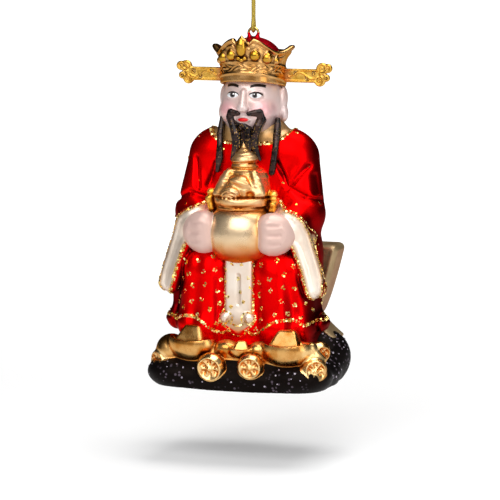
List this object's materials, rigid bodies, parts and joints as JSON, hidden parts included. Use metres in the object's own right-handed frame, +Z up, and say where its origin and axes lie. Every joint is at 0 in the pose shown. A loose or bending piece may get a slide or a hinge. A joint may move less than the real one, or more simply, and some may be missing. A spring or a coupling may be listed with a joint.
{
  "type": "hanging figure ornament",
  "caption": "Blown-glass hanging ornament: a seated bearded god of wealth in a red robe holding a gold treasure pot, on a black base with ingots and coins.",
  "frame": {"origin": "middle of the flat underside of the base", "axes": "+Z up, the figure faces -Y, its left hand is towards +X"},
  "size_m": [0.0719, 0.058, 0.152],
  "materials": {
    "painted_glass": "silvered inside, satin and gloss lacquer outside, glitter lines",
    "gilt_cast_metal": "matt gold paint over a cast plate",
    "ring_metal": "bright wire, its lower half dipped in red lacquer",
    "metallic_cord": "chain-knitted metallic yarn"
  },
  "bodies": {
    "root": {"glass_figure": "painted_glass", "left_wing": "gilt_cast_metal", "right_wing": "gilt_cast_metal", "hanging_ring": "ring_metal", "hanging_cord": "metallic_cord", "cord_knot": "metallic_cord"}
  },
  "joints": []
}
